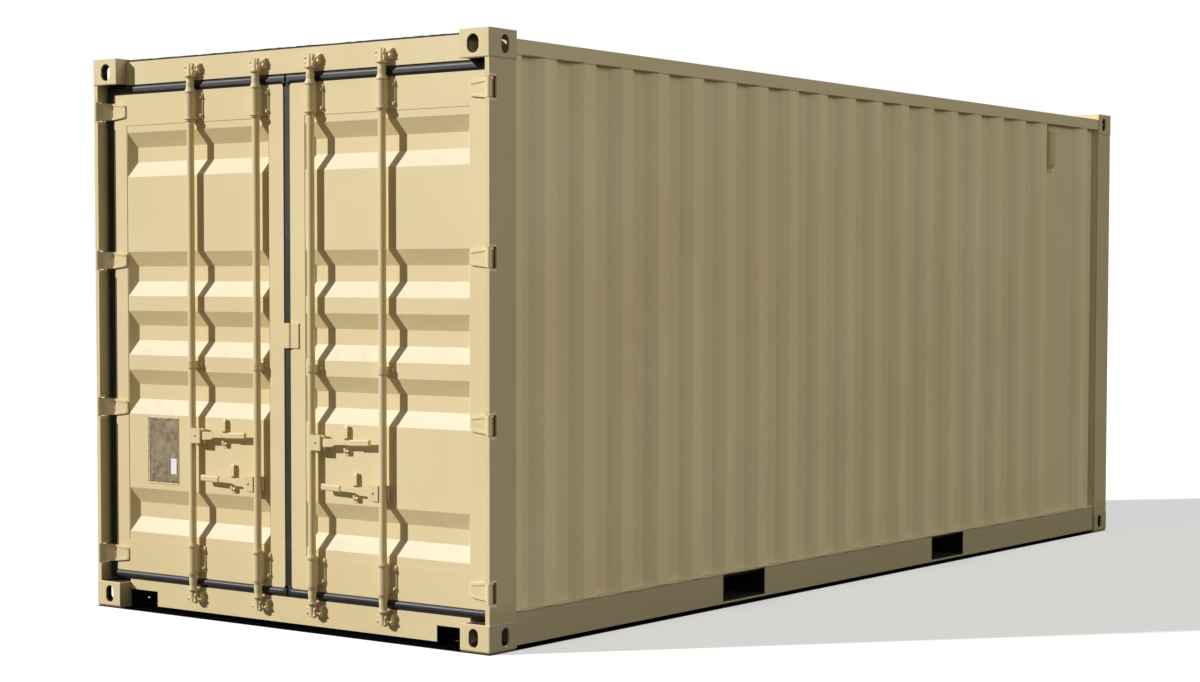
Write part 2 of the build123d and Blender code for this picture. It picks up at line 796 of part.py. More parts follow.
def handle_catch(index):
    # Base plate, arched hasp with a fin above the bar, curled hook below it
    x, way, z = handle_place(index)
    x += way * (catch_upper_reach if way > 0 else catch_lower_reach)
    bar_z = z + handle_rise / 2
    bar_low = bar_z - handle_grip_tall / 2
    bar_high = bar_z + handle_grip_tall / 2
    front = depth(panel_depth - catch_plate)
    catch = block(x - catch_base_wide / 2, x + catch_base_wide / 2, front, depth(panel_depth),
                  bar_z - catch_base_tall / 2, bar_z + catch_base_tall / 2)
    arch_y = front - hasp_thick / 2 - hasp_bend
    arch_z = bar_high + hasp_rise
    front_leg = hasp_rise - catch_clear
    catch += bent_strap(x, arch_y, arch_z, hasp_bend, hasp_thick, hasp_wide, front_leg, hasp_rise, 1)
    fin_x = x - hasp_wide / 2
    fin_low = bar_high + catch_clear
    fin_y = arch_y - hasp_bend - hasp_thick / 2
    fin = [(fin_x - hasp_fin_reach, fin_low), (x, fin_low), (x, fin_low + hasp_fin_tall),
           (fin_x, fin_low + hasp_fin_tall)]
    catch += prism("y", fin, fin_y, fin_y + hasp_thick)
    hook_y = front - hook_thick / 2 - hook_bend
    hook_z = bar_low - catch_clear - hook_tip - hook_thick / 2
    back_leg = bar_low - hook_z
    return catch + bent_strap(x, hook_y, hook_z, hook_bend, hook_thick, hook_wide, hook_tip, back_leg, -1)


def cam(index, start, up):
    # Forged head: flange at the rod, tapered core, and two pronged wings, the longer on the handle's side
    x, way, _ = handle_place(index)
    span = cam_tall - cam_flange_tall
    flange = Pos(0, 0, cam_flange_tall / 2) * Cylinder(cam_flange_radius, cam_flange_tall)
    core = Pos(0, 0, cam_flange_tall + span / 2) * Cone(rod_radius, cam_tip_radius, span)
    head = flange + core
    for side, reach in ((way, cam_reach), (-way, cam_heel)):
        wing = [(0, 0), (rod_radius, 0)] + [(reach * u, span * v) for u, v in cam_wing]
        wing = [(side * u, cam_flange_tall + v) for u, v in wing]
        head += prism("y", wing, -cam_thick / 2, cam_thick / 2)
    turned = head if up > 0 else Rot(180, 0, 0) * head
    return Pos(x, depth(rod_depth), start) * turned


def lock_rod(index):
    # Bar from cam to cam, a collar on the inner side of each bearing, a flared skirt on the outer side
    x, y = rod_places[index], depth(rod_depth)
    rod = rod_z(x, y, rod_radius, cam_bottom_start, cam_top_start)
    rod += rod_z(x, y, rod_collar_radius, bracket_top_low - collar_gap - rod_collar_tall,
                 bracket_top_low - collar_gap)
    rod += rod_z(x, y, rod_collar_radius, bracket_bottom_high + collar_gap,
                 bracket_bottom_high + collar_gap + rod_collar_tall)
    skirt = [(0, 0), (rod_skirt_radius, 0), (rod_skirt_radius, rod_skirt_rim),
             (rod_neck_radius, rod_neck_end / 2), (rod_neck_radius, rod_neck_end),
             (rod_radius, rod_neck_reach), (0, rod_neck_reach)]
    skirt = revolve(Plane.XZ * outline_face(skirt), axis=Axis.Z)
    rod += Pos(x, y, bracket_top_high + collar_gap) * skirt
    return rod + Pos(x, y, bracket_bottom_low - collar_gap) * Rot(180, 0, 0) * skirt


def handle_hub(index):
    # Clamped on the rod, with two cheeks that hold the lever's pin
    x, way, z = handle_place(index)
    front_y, back_y = depth(hub_front_depth), depth(rod_depth + rod_radius + hub_wall)
    x0, x1 = sorted((x - way * (rod_radius + hub_wall), x + way * hub_reach))
    hub = block(x0, x1, front_y, back_y, z - hub_half_tall, z + hub_half_tall)
    hub = fillet(hub.edges().filter_by(Axis.Z), hub_round)
    slot_x0, slot_x1 = sorted((x + way * (handle_pivot_reach - handle_eye_radius - handle_play),
                               x + way * (hub_reach + 1)))
    slot_front = front_y + hub_cheek
    slot_back = slot_front + handle_plate + 2 * handle_play
    hub -= block(slot_x0, slot_x1, slot_front, slot_back, z - hub_half_tall - 1, z + hub_half_tall + 1)
    hub -= rod_z(x, depth(rod_depth), rod_radius, z - hub_half_tall - 1, z + hub_half_tall + 1)
    return hub + cross_pin(x + way * handle_pivot_reach, z, handle_pin_radius, front_y - handle_pin_head,
                           back_y - hub_wall / 2)


def rod_fittings(index):
    return [cam(index, cam_bottom_start, -1), cam(index, cam_top_start, 1), handle_hub(index)]


def handle(index):
    # Forged lever: round eye on the hub's pin, flat root and neck, rounded grip
    x, way, z = handle_place(index)
    y0 = depth(handle_front_depth)
    y1 = y0 + handle_plate
    middle_y = (y0 + y1) / 2
    eye, neck = handle_eye_radius, handle_neck_tall / 2
    span = handle_tip - handle_pivot_reach

    def lift(u):
        return handle_rise * (u - handle_pivot_reach) / span

    stations = [(handle_pivot_reach, eye), (handle_root_end, eye), (handle_neck_start, neck),
                (handle_neck_end, neck), (handle_grip_start + 4, neck)]
    upper = [(x + way * u, z + lift(u) + half) for u, half in stations]
    lower = [(x + way * u, z + lift(u) - half) for u, half in reversed(stations)]
    bar = prism("y", upper + lower, y0, y1)
    bar += cross_pin(x + way * handle_pivot_reach, z, eye, y0, y1)
    half = handle_grip_tall / 2
    corners = ((handle_grip_start, 1), (handle_tip, 1), (handle_tip, -1), (handle_grip_start, -1))
    grip_outline = [(x + way * u, z + lift(u) + s * half) for u, s in corners]
    grip = prism("y", grip_outline, middle_y - handle_grip_thick / 2, middle_y + handle_grip_thick / 2)
    bar += fillet(grip.edges(), handle_grip_round)
    bore = handle_pin_radius + pin_running_gap
    return bar - cross_pin(x + way * handle_pivot_reach, z, bore, y0 - 1, y1 + 1)


def keeper_jaw(seat_depth, start, up, inner_x, outer_x):
    # Claw in side view: broad at the frame, notched between two points in front
    tall = cam_tall - keeper_notch
    front = keeper_front_depth
    upper, notch, lower = keeper_points
    outline = [(seat_depth, 0), (seat_depth, tall), (seat_depth - keeper_notch, tall),
               (front, tall * upper), (front + keeper_notch, tall * notch),
               (front + keeper_notch / 2, tall * lower), (seat_depth - keeper_notch, 0)]
    outline = [(depth(d), start + up * v) for d, v in outline]
    return prism("x", outline, min(inner_x, outer_x), max(inner_x, outer_x))


def cam_keeper(x, face_depth, start, up):
    # Foot plate with a claw on each side of the cam
    gap = cam_reach + keeper_gap
    wide = gap + keeper_thick + keeper_foot
    seat_depth = face_depth - keeper_plate
    ends = sorted((start, start + up * (cam_tall - keeper_notch)))
    keeper = block(x - wide, x + wide, depth(seat_depth), depth(face_depth), *ends)
    for side in (-1, 1):
        keeper += keeper_jaw(seat_depth, start, up, x + side * gap, x + side * (gap + keeper_thick))
    return keeper


def cam_keepers():
    top, bottom = cam_top_start + keeper_notch, cam_bottom_start - keeper_notch
    pieces = [cam_keeper(x, header_depth, top, 1) for x in rod_places]
    return pieces + [cam_keeper(x, sill_depth, bottom, -1) for x in rod_places]


def marking_plate():
    middle_x = marking_from_hinge_side - leaf_outer_x
    middle_z = handle_field_middle + marking_rise
    return block(middle_x - marking_wide / 2, middle_x + marking_wide / 2,
                 depth(panel_depth - marking_plate_thick), depth(panel_depth),
                 middle_z - marking_tall / 2, middle_z + marking_tall / 2)


def lap_plate():
    # Welded to the right leaf, joggled outwards where it passes in front of the gap
    x0 = leaf_span(-1)[1] + seal_swing_gap
    edge_x = leaf_span(1)[0]
    y = depth(leaf_depth)
    t, j = lap_plate_thick, lap_joggle
    outline = [(x0 + lap_wide, y), (x0 + lap_wide, y - t), (edge_x + lap_crank, y - t), (edge_x, y - t - j),
               (x0, y - t - j), (x0, y - j), (edge_x, y - j), (edge_x + lap_crank, y)]
    middle_z = leaf_middle + lap_rise
    return prism("z", outline, middle_z - lap_tall / 2, middle_z + lap_tall / 2)


def save(name, pieces):
    if not isinstance(pieces, list):
        pieces = [pieces]
    shape = pieces[0] if len(pieces) == 1 else Compound(children=pieces)
    export_step(shape, "parts/" + name + ".step")


save("corner_castings_top", corner_set(True))
save("corner_castings_bottom", corner_set(False))
save("front_posts", [hand(front_post(), side) for side in (1, -1)])
save("door_header", door_header())
save("door_sill", door_sill())
save("front_beams", [front_beam(post_high, header_top), front_beam(base_bottom, bottom_rail_top)])
save("top_rails", [hand(top_rail(), side) for side in (1, -1)])
save("fork_pockets", [fork_pocket(middle) for middle in pocket_middles])
save("crossmembers", [crossmember(y) for y in crossmember_places()])
save("floor_boards", floor_boards())
save("front_wall", front_wall())
save("roof_sheet", roof_sheet())
save("side_vents", [hand(side_vent(), side) for side in (1, -1)])
save("cam_keepers", cam_keepers())
save("bottom_rails", [hand(bottom_rail(), side) for side in (1, -1)])
save("hinge_pins", [hand(hinge_pin_and_lugs(z), side) for side in (1, -1) for z in hinge_heights])

for side, name in ((-1, "left"), (1, "right")):
    save("rear_post_" + name, hand(rear_post(), side))
    save("side_wall_" + name, hand(side_wall(), side))
    save("hinge_blades_" + name, [hand(hinge_blade(z), side) for z in hinge_heights])
    save("door_frame_" + name, leaf_frame(side))
    save("door_panel_" + name, leaf_panel(side))
    save("door_seal_" + name, leaf_seal(side))
    save("rod_brackets_" + name, leaf_brackets(side))

save("handle_catches_left", [handle_catch(i) for i in (0, 1)])
save("handle_catches_right", [handle_catch(i) for i in (2, 3)])
save("marking_plate", marking_plate())
save("lap_plate", lap_plate())
for index in range(4):
    save("lock_rod_" + str(index + 1), lock_rod(index))
    save("rod_fittings_" + str(index + 1), rod_fittings(index))
    save("lock_handle_" + str(index + 1), handle(index))
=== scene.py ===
import math
import random

import bmesh
import bpy
from mathutils import Matrix, Vector


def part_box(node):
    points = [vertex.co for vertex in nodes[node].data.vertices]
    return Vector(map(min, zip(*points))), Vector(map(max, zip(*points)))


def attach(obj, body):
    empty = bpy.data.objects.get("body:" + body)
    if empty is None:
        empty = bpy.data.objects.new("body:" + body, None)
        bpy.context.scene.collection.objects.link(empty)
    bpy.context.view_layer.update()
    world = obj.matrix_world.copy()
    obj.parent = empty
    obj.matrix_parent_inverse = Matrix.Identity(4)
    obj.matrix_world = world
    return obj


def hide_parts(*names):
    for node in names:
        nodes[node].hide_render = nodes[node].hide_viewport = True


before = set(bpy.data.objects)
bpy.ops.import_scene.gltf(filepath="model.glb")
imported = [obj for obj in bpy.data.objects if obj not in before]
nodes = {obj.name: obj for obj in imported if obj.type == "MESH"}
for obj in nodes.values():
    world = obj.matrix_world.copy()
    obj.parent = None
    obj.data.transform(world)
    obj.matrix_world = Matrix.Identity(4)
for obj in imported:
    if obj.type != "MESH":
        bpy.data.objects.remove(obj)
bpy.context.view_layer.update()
print("frame loaded:", len(nodes), "nodes")


class Wire:
    # a socket that takes part in plain arithmetic
    def __init__(self, work, socket):
        self.work = work
        self.socket = socket

    def maths(self, operation, left, right=None):
        values = [left] if right is None else [left, right]
        return self.work.add("ShaderNodeMath", {"operation": operation}, values)

    def __add__(self, other):
        return self.maths("ADD", self, other)

    def __radd__(self, other):
        return self.maths("ADD", other, self)

    def __sub__(self, other):
        return self.maths("SUBTRACT", self, other)

    def __rsub__(self, other):
        return self.maths("SUBTRACT", other, self)

    def __mul__(self, other):
        return self.maths("MULTIPLY", self, other)

    def __rmul__(self, other):
        return self.maths("MULTIPLY", other, self)

    def __gt__(self, other):
        return self.maths("GREATER_THAN", self, other)

    def __lt__(self, other):
        return self.maths("LESS_THAN", self, other)

    def size(self):
        return self.maths("ABSOLUTE", self)

    def lowest(self, other):
        return self.maths("MINIMUM", self, other)

    def highest(self, other):
        return self.maths("MAXIMUM", self, other)


class NodeWork:
    # the nodes of a material or of the world, all added in one way
    def __init__(self, owner):
        self.owner = owner
        owner.use_nodes = True
        self.tree = owner.node_tree
        self.tree.nodes.clear()

    def add(self, kind, settings=None, inputs=None, output=0):
        node = self.tree.nodes.new(kind)
        for key, value in (settings or {}).items():
            setattr(node, key, value)
        pairs = inputs.items() if isinstance(inputs, dict) else enumerate(inputs or [])
        for key, value in pairs:
            if isinstance(value, Wire):
                self.tree.links.new(value.socket, node.inputs[key])
            elif value is not None:
                node.inputs[key].default_value = value
        return Wire(self, node.outputs[output]) if node.outputs else node


class Finish(NodeWork):
    def __init__(self, name):
        super().__init__(bpy.data.materials.new(name))
        self.spot = self.add("ShaderNodeTexCoord", output="Object")
        self.x, self.y, self.z = self.split(self.spot)

    def close(self, shader):
        self.add("ShaderNodeOutputMaterial", {}, {"Surface": shader})
        return self.owner

    def split(self, vector):
        node = self.add("ShaderNodeSeparateXYZ", {}, {0: vector}).socket.node
        return [Wire(self, socket) for socket in node.outputs]

    def stretched(self, scale):
        return self.add("ShaderNodeMapping", {}, {"Vector": self.spot, "Scale": scale})

    def noise(self, scale, detail=3.0, rough=0.5, stretch=None, twist=0.0):
        vector = self.stretched(stretch) if stretch else self.spot
        return self.add("ShaderNodeTexNoise", {}, {"Vector": vector, "Scale": scale, "Detail": detail,
                                                   "Roughness": rough, "Distortion": twist})

    def ramp(self, value, low, high):
        return self.add("ShaderNodeMapRange", {"clamp": True},
                        {"Value": value, "From Min": low, "From Max": high})

    def band(self, value, low, high, soft):
        return self.ramp(value, low - soft, low + soft) * (1.0 - self.ramp(value, high - soft, high + soft))

    def mix(self, factor, first, second):
        return self.add("ShaderNodeMix", {"data_type": "RGBA"}, {0: factor, 6: first, 7: second}, output=2)

    def facing(self):
        # plain normal of the surface, before bump
        return self.add("ShaderNodeNewGeometry", output="True Normal")

    def rounded(self, radius):
        return self.add("ShaderNodeBevel", {"samples": 4}, {"Radius": radius})

    def bump(self, height, strength, distance, normal=None):
        return self.add("ShaderNodeBump", {}, {"Height": height, "Strength": strength, "Distance": distance,
                                               "Normal": normal})

    def surface(self, **inputs):
        names = {"baseColour": "Base Color", "roughness": "Roughness", "metallic": "Metallic",
                 "normal": "Normal"}
        values = {names[key]: value for key, value in inputs.items()}
        return self.close(self.add("ShaderNodeBsdfPrincipled", {}, values))


def tone(red, green, blue):
    # screen colour to the linear one that a socket takes
    def linear(value):
        value /= 255
        return value / 12.92 if value <= 0.04045 else ((value + 0.055) / 1.055) ** 2.4
    return (linear(red), linear(green), linear(blue), 1.0)


# some tones stand for light: the near white one is a painted highlight on faces that look up, the tone (160,
# 146, 108) and the black are painted shade, and the tone (96, 84, 60) serves dark scuffs and painted shade
# under things
paintLook = {"sand": tone(225, 203, 151), "pale": tone(231, 211, 163), "dusty": tone(206, 186, 143),
             "upHighlight": tone(242, 235, 217), "smudge": tone(204, 194, 172), "rust": tone(112, 62, 32),
             "stain": tone(176, 142, 106), "scuffAndShade": tone(96, 84, 60), "cavityShade": tone(58, 46, 24),
             "shadeTone": tone(160, 146, 108), "black": tone(16, 14, 12),
             "roughness": 0.42, "floorDust": 0.55, "speckShare": 1.6, "upHighlightShare": 0.5,
             "smudgeShare": 0.45, "undersideShade": 0.85, "railZ": (2.49, 2.50), "railEnd": 2.850,
             "railShare": 0.5, "groundDarker": 0.25, "peelScale": 90.0, "peelStrength": 0.06,
             "peelDepth": 0.002}
# scale, detail, roughness and stretch of each pattern
paintNoise = {"broad": (0.9, 4.0, 0.55), "streaks": (3.0, 5.0, 0.6, (1.0, 1.0, 0.06)),
              "grain": (260.0, 2.0, 0.6), "specks": (38.0, 6.0, 0.7), "chips": (55.0, 6.0, 0.7),
              "smudges": (7.0, 6.0, 0.7, (1.0, 1.0, 0.5)), "runs": (1.6, 3.0, 0.5, (1.0, 1.0, 0.35))}
# where each mask starts and where it is full
paintRange = {"broad": (0.35, 0.7), "streaks": (0.5, 0.85), "specks": (0.62, 0.72), "smudges": (0.52, 0.72),
              "upward": (0.2, 0.5), "downward": (0.6, 0.9), "offGround": (0.15, 0.3), "sideways": (0.6, 0.9),
              "abovePlinth": (0.12, 0.22), "runs": (0.58, 0.78), "chips": (0.6, 0.68), "flat": (0.8, 0.995)}


def sandPaint(name, dustiness=0.25, wear=0.1, stains=0.0, edge=0.003, sideShade=0.0, extra=None):
    look, limits = paintLook, paintRange
    paint = Finish(name)
    broad, streaks, grain = [paint.noise(*paintNoise[key]) for key in ("broad", "streaks", "grain")]
    normalX, _, normalZ = paint.split(paint.facing())
    colour = paint.mix(paint.ramp(broad, *limits["broad"]), look["sand"], look["pale"])
    colour = paint.mix(paint.ramp(streaks, *limits["streaks"]) * dustiness, colour, look["dusty"])
    low = 1.0 - paint.ramp(paint.z, 0.0, look["floorDust"])
    specks = paint.ramp(paint.noise(*paintNoise["specks"]), *limits["specks"])
    colour = paint.mix(low * (0.25 + specks * 0.5) * dustiness * look["speckShare"], colour, look["dusty"])
    # painted highlight: faces that look up are paler and gather grey smudges; painted shade: faces that look
    # down, near the ground, are darker
    upward = paint.ramp(normalZ, *limits["upward"])
    smudges = paint.ramp(paint.noise(*paintNoise["smudges"]), *limits["smudges"])
    colour = paint.mix(upward * look["upHighlightShare"], colour, look["upHighlight"])
    colour = paint.mix(upward * smudges * look["smudgeShare"], colour, look["smudge"])
    downward = paint.ramp(0.0 - normalZ, *limits["downward"])
    downward = downward * (1.0 - paint.ramp(paint.z, *limits["offGround"]))
    colour = paint.mix(downward * look["undersideShade"], colour, look["scuffAndShade"])
    if sideShade:
        # painted shade: faces of posts and castings that look sideways are darker, less so on the top rail,
        # and darker still near the ground
        sideways = paint.ramp(normalX.size(), *limits["sideways"])
        nearGround = 1.0 - paint.ramp(paint.z, *limits["abovePlinth"])
        topRail = paint.ramp(paint.z, *look["railZ"]) * (paint.y.size() < look["railEnd"])
        share = sideShade * (1.0 - topRail * look["railShare"]) + nearGround * look["groundDarker"]
        colour = paint.mix(sideways * share, colour, look["shadeTone"])
    if stains:
        runs = paint.ramp(paint.noise(*paintNoise["runs"]), *limits["runs"])
        colour = paint.mix(runs * stains, colour, look["stain"])
    rounded = paint.rounded(edge)
    if wear:
        bend = paint.add("ShaderNodeVectorMath", {"operation": "DOT_PRODUCT"},
                         [rounded, paint.facing()], output="Value")
        chips = paint.ramp(paint.noise(*paintNoise["chips"]), *limits["chips"])
        colour = paint.mix((1.0 - paint.ramp(bend, *limits["flat"])) * chips * wear, colour, look["rust"])
    if extra:
        colour = extra(paint, colour)
    roughness = look["roughness"] + grain * 0.06 + streaks * 0.12 + upward * 0.1
    peel = paint.noise(look["peelScale"], 2.0, 0.5)
    normal = paint.bump(peel + grain * 0.4, look["peelStrength"], look["peelDepth"], rounded)
    return paint.surface(baseColour=colour, roughness=roughness, normal=normal)


notchLook = {"front": -2.957, "back": -2.70, "outer": 1.0580, "innerTop": 0.086, "share": 0.97}


def notchShade(paint, colour):
    # painted shade: behind the notches beside the bottom castings all is painted black
    inside = (paint.y > notchLook["front"]) * (paint.y < notchLook["back"])
    inside = inside * (paint.x.size() < notchLook["outer"]) * (paint.z < notchLook["innerTop"])
    return paint.mix(inside * notchLook["share"], colour, paintLook["black"])


castingLook = {"halfWide": 1.219, "halfLong": 3.029, "tall": 2.591, "skin": 0.009, "soft": 0.003,
               "wide": 0.150, "long": 0.166, "share": 0.96}


def castingCavityShade(paint, colour):
    # painted shade: the hollow inside a casting, seen through its holes, is painted dark brown
    look = castingLook
    inX = look["halfWide"] - paint.x.size()
    inY = look["halfLong"] - paint.y.size()
    inZ = paint.z.lowest(look["tall"] - paint.z)
    deep = paint.ramp(inX.lowest(inY).lowest(inZ), look["skin"] - look["soft"], look["skin"] + look["soft"])
    hollow = deep * (inX < look["wide"]) * (inY < look["long"])
    return notchShade(paint, paint.mix(hollow * look["share"], colour, paintLook["cavityShade"]))


# scuffs and blotches: place along the wall, height, half width and half height
wallMarks = {"scuffs": ((1.880, 2.010, 0.010, 0.045), (-0.900, 2.190, 0.008, 0.008),
                        (-0.862, 0.351, 0.007, 0.007)),
             "scuffShare": 0.7, "softY": 0.003, "softZ": 0.006,
             "blotches": ((-1.9, 1.25, 0.30, 0.55), (0.75, 1.45, 0.25, 0.50), (-0.4, 0.75, 0.35, 0.35),
                          (1.6, 1.1, 0.3, 0.5), (-1.0, 0.55, 0.25, 0.25)),
             "blotchShare": 0.15, "cloud": (5.0, 5.0, 0.6), "troughX": (1.180, 1.206), "troughShade": 0.20,
             "rightFrom": 1.0}


def wallShadeAndStains(paint, colour):
    # painted shade darkens the troughs, then faint blotches and a few dark scuffs at set places on the right
    # hand side
    look = wallMarks
    trough = 1.0 - paint.ramp(paint.x.size(), *look["troughX"])
    colour = paint.mix(trough * look["troughShade"], colour, paintLook["shadeTone"])
    rightSide = paint.x > look["rightFrom"]
    cloud = paint.ramp(paint.noise(*look["cloud"]), 0.35, 0.65)
    for y, z, wide, tall in look["blotches"]:
        dy, dz = (paint.y - y) * (1 / wide), (paint.z - z) * (1 / tall)
        spread = 1.0 - paint.ramp(dy * dy + dz * dz, 0.1, 1.0)
        colour = paint.mix(rightSide * spread * cloud * look["blotchShare"], colour, paintLook["stain"])
    for y, z, wide, tall in look["scuffs"]:
        mark = paint.band(paint.y, y - wide, y + wide, look["softY"])
        mark = mark * paint.band(paint.z, z - tall, z + tall, look["softZ"])
        colour = paint.mix(rightSide * mark * look["scuffShare"], colour, paintLook["scuffAndShade"])
    return colour


rubberLook = {"dark": tone(24, 22, 22), "dusty": tone(62, 60, 58), "sheen": tone(104, 102, 100),
              "dust": (14.0, 5.0, 0.65), "smear": (5.0, 4.0, 0.6, (1.0, 1.0, 0.2)), "dustShare": 0.4,
              "sheenShare": 0.5, "roughness": 0.36, "edge": 0.004, "skinScale": 120.0, "skinDepth": 0.002}


def sealRubber():
    look = rubberLook
    rubber = Finish("sealRubber")
    dust, smear = rubber.noise(*look["dust"]), rubber.noise(*look["smear"])
    normalZ = rubber.split(rubber.facing())[2]
    # painted sheen: faces of the seal that look up are a lighter grey, unevenly
    sheen = rubber.ramp(normalZ, -0.1, 0.9) * (0.35 + smear * 0.5)
    colour = rubber.mix(rubber.ramp(dust, 0.45, 0.8) * look["dustShare"], look["dark"], look["dusty"])
    colour = rubber.mix(sheen * look["sheenShare"], colour, look["sheen"])
    skin = rubber.bump(rubber.noise(look["skinScale"]), 0.1, look["skinDepth"], rubber.rounded(look["edge"]))
    return rubber.surface(baseColour=colour, roughness=look["roughness"] + dust * 0.2, normal=skin)


plywoodLook = {"dark": tone(112, 76, 52), "light": tone(150, 108, 76), "worn": tone(92, 80, 70),
               "grain": (9.0, 8.0, 0.65, (1.0, 0.05, 1.0), 1.2), "scuffs": (6.0, 7.0, 0.75, (1.0, 0.4, 1.0)),
               "wornShare": 0.5, "roughness": 0.6, "grainDepth": 0.003}


def floorPlywood():
    look = plywoodLook
    wood = Finish("floorPlywood")
    grain = wood.noise(*look["grain"])
    colour = wood.mix(wood.ramp(grain, 0.35, 0.7), look["dark"], look["light"])
    scuffs = wood.ramp(wood.noise(*look["scuffs"]), 0.55, 0.75)
    colour = wood.mix(scuffs * look["wornShare"], colour, look["worn"])
    return wood.surface(baseColour=colour, roughness=look["roughness"] + grain * 0.2,
                        normal=wood.bump(grain, 0.3, look["grainDepth"]))


lumpyLooks = {
    "underSeal": {"dark": tone(30, 29, 28), "light": tone(52, 49, 45), "scale": 40.0, "roughness": 0.75,
                  "strength": 0.3, "depth": 0.004},
    # the fork pockets: black underseal, darker still as painted shade for their unlit inside
    "pocketSealAndShade": {"dark": tone(10, 9, 8), "light": tone(20, 18, 16), "scale": 40.0, "roughness": 0.75,
                    "strength": 0.3, "depth": 0.004},
    "paleLabel": {"dark": tone(244, 243, 238), "light": tone(226, 224, 218), "scale": 90.0, "roughness": 0.5,
                  "strength": 0.05, "depth": 0.0005},
    # a dark finish for the line along the header's top, and painted shade for the pin dimples
    "darkLineAndPinShade": {"dark": tone(46, 40, 18), "light": tone(66, 58, 30), "scale": 70.0, "roughness": 0.7,
                    "strength": 0.3, "depth": 0.002},
}


def lumpyFinish(name):
    # two near tones and a bump from one soft pattern
    look = lumpyLooks[name]
    coat = Finish(name)
    lumps = coat.noise(look["scale"], 4.0, 0.6)
    colour = coat.mix(coat.ramp(lumps, 0.4, 0.7), look["dark"], look["light"])
    return coat.surface(baseColour=colour, roughness=look["roughness"] + lumps * 0.1,
                        normal=coat.bump(lumps, look["strength"], look["depth"]))


plateLook = {"lowX": -0.923, "highX": -0.717, "lowZ": 0.600, "highZ": 0.910, "overpaint": 0.006,
             "ragged": 0.014, "darkFade": 0.010, "paintFade": 0.002, "dark": tone(112, 94, 68),
             "light": tone(164, 146, 114), "rowTone": tone(92, 76, 54), "pitTone": tone(84, 68, 46),
             "bareTone": tone(208, 194, 160), "edgeTone": tone(72, 58, 40), "blotch": (22.0, 8.0, 0.75),
             "fine": (130.0, 6.0, 0.75), "rows": (60.0, 3.0, 0.6, (0.25, 1.0, 1.0)),
             "bare": (75.0, 4.0, 0.6), "edgeNoise": (45.0, 5.0, 0.7), "roughness": 0.55, "depth": 0.001}


def weatheredMetal():
    # mottled old plate, painted over raggedly at its edges
    look = plateLook
    plate = Finish("weatheredMetal")
    blotch, fine, rows, bare = [plate.noise(*look[key]) for key in ("blotch", "fine", "rows", "bare")]
    colour = plate.mix(plate.ramp(blotch, 0.38, 0.60), look["dark"], look["light"])
    colour = plate.mix(plate.ramp(rows, 0.55, 0.7) * 0.35, colour, look["rowTone"])
    colour = plate.mix(plate.ramp(fine, 0.56, 0.7) * 0.5, colour, look["pitTone"])
    colour = plate.mix(plate.ramp(bare, 0.60, 0.70) * 0.6, colour, look["bareTone"])
    fromEdge = (plate.x - look["lowX"]).lowest(look["highX"] - plate.x)
    fromEdge = fromEdge.lowest(plate.z - look["lowZ"]).lowest(look["highZ"] - plate.z)
    ragged = fromEdge + (plate.noise(*look["edgeNoise"]) - 0.5) * look["ragged"]
    edgeDark = 1.0 - plate.ramp(ragged, look["overpaint"], look["overpaint"] + look["darkFade"])
    colour = plate.mix(edgeDark * 0.6, colour, look["edgeTone"])
    painted = 1.0 - plate.ramp(ragged, look["overpaint"] - look["paintFade"], look["overpaint"])
    colour = plate.mix(painted, colour, paintLook["sand"])
    height = fine * 0.6 + rows * 0.4
    return plate.surface(baseColour=colour, roughness=look["roughness"] + fine * 0.2,
                         normal=plate.bump(height, 0.3, look["depth"]))


steelLook = {"clean": tone(118, 112, 104), "rusty": tone(92, 66, 46), "rust": (200.0, 4.0, 0.6),
             "roughness": 0.45, "metallic": 0.7}


def screwSteel():
    look = steelLook
    steel = Finish("screwSteel")
    rust = steel.ramp(steel.noise(*look["rust"]), 0.45, 0.65)
    colour = steel.mix(rust, look["clean"], look["rusty"])
    return steel.surface(baseColour=colour, roughness=look["roughness"] + rust * 0.3,
                         metallic=look["metallic"] - rust * 0.5)


finishes = {
    "boxPaint": sandPaint("boxPaint", dustiness=0.3, wear=0.05, sideShade=0.58, extra=notchShade),
    "wallPaint": sandPaint("wallPaint", dustiness=0.25, wear=0.0, stains=0.06, extra=wallShadeAndStains),
    "doorPaint": sandPaint("doorPaint", dustiness=0.2, wear=0.05),
    "castingPaint": sandPaint("castingPaint", dustiness=0.4, wear=0.3, edge=0.004, sideShade=0.60,
                              extra=castingCavityShade),
    "fittingPaint": sandPaint("fittingPaint", dustiness=0.3, wear=0.25, edge=0.002),
    "sealRubber": sealRubber(),
    "floorPlywood": floorPlywood(),
    "underSeal": lumpyFinish("underSeal"),
    "pocketSealAndShade": lumpyFinish("pocketSealAndShade"),
    "weatheredMetal": weatheredMetal(),
    "paleLabel": lumpyFinish("paleLabel"),
    "darkLineAndPinShade": lumpyFinish("darkLineAndPinShade"),
    "screwSteel": screwSteel(),
}
finishOfNode = {
    "corner_castings": "castingPaint", "door_seal": "sealRubber", "floor_boards": "floorPlywood",
    "crossmembers": "underSeal", "fork_pockets": "pocketSealAndShade", "marking_plate": "weatheredMetal",
    "door_frame": "doorPaint", "door_panel": "doorPaint", "lap_plate": "doorPaint", "hinge": "fittingPaint",
    "rod_": "fittingPaint", "lock_": "fittingPaint", "cam_keepers": "fittingPaint",
    "handle_catches": "fittingPaint", "side_wall": "wallPaint",
}
for nodeName, piece in nodes.items():
    finish = next((value for key, value in finishOfNode.items() if nodeName.startswith(key)), "boxPaint")
    piece.data.materials.clear()
    piece.data.materials.append(finishes[finish])
print("finishes set:", len(finishes))


def keepPiece(name, shape, finish, body):
    mesh = bpy.data.meshes.new(name)
    shape.normal_update()
    shape.to_mesh(mesh)
    shape.free()
    mesh.materials.append(finishes[finish])
    piece = bpy.data.objects.new(name, mesh)
    bpy.context.scene.collection.objects.link(piece)
    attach(piece, body)
    return piece


